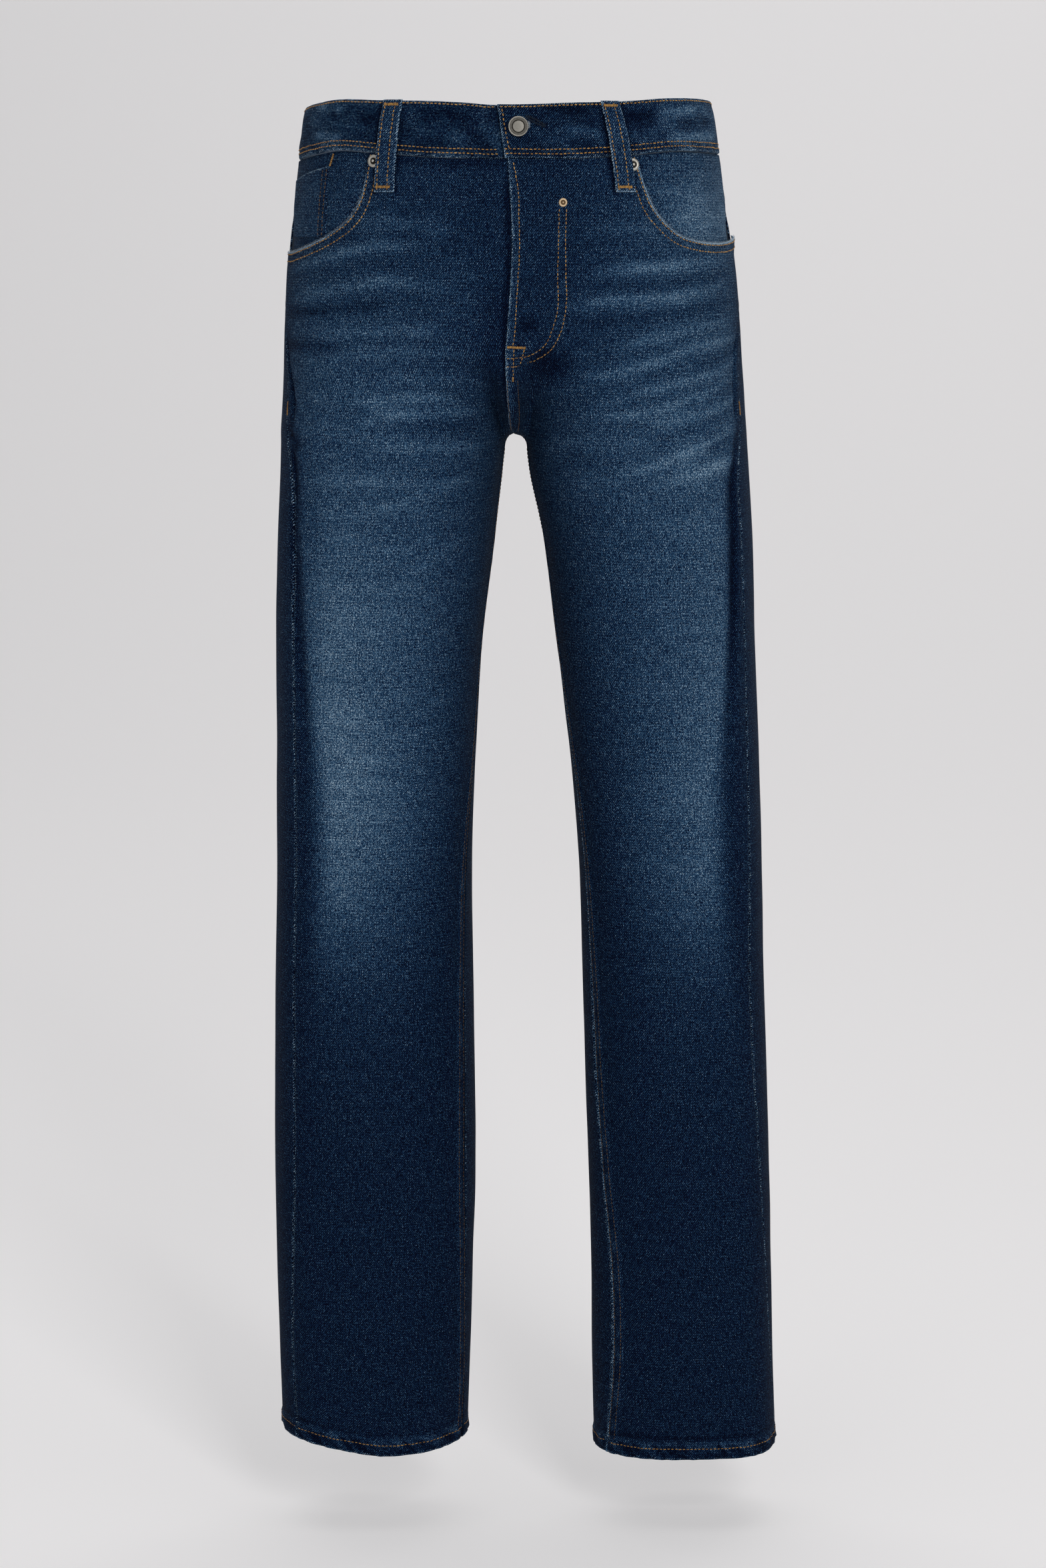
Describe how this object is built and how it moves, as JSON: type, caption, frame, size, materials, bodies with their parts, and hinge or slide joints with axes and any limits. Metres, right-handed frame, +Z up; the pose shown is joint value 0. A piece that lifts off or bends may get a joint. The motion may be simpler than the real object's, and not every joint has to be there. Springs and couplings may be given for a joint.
{
  "type": "straight leg jeans",
  "caption": "Five-pocket straight leg jeans with a zip fly, filled out as if worn: hollow from the waistband to both hems, held at the waist.",
  "frame": {"origin": "the middle of the waistband ring, half way up the band, where the wearer's waist holds the garment", "axes": "+X towards the wearer's left, -Y to the wearer's front, +Z up, from the hems to the waist"},
  "size_m": [0.4024, 0.2534, 1.0696],
  "materials": {
    "denim": "dark indigo right-hand twill, heathered, faded pale blue on the thighs and along every seam's edge",
    "denim_band": "dark indigo twill folded double, its edges worn pale, with golden orange topstitching",
    "pocket_cotton": "unbleached plain-woven cotton",
    "zip_cloth": "dark woven zip tape",
    "nickel": "matt antique nickel, brighter on the raised parts",
    "brass": "satin pale brass"
  },
  "bodies": {
    "root": {"waistband": "denim_band", "front_right": "denim", "front_left": "denim", "back_right": "denim", "back_left": "denim", "yoke_right": "denim", "yoke_left": "denim", "pocket_facing_right": "denim", "pocket_facing_left": "denim", "coin_pocket": "denim", "pocket_bag_right": "pocket_cotton", "pocket_bag_left": "pocket_cotton", "back_pocket_right": "denim", "back_pocket_left": "denim", "fly_shield": "denim", "zip": "zip_cloth", "belt_loop_front_right": "denim_band", "belt_loop_front_left": "denim_band", "belt_loop_back_right": "denim_band", "belt_loop_back_left": "denim_band", "belt_loop_back_centre": "denim_band", "button": "nickel", "pocket_rivet_right": "nickel", "pocket_rivet_left": "nickel", "fly_rivet": "brass"}
  },
  "joints": []
}
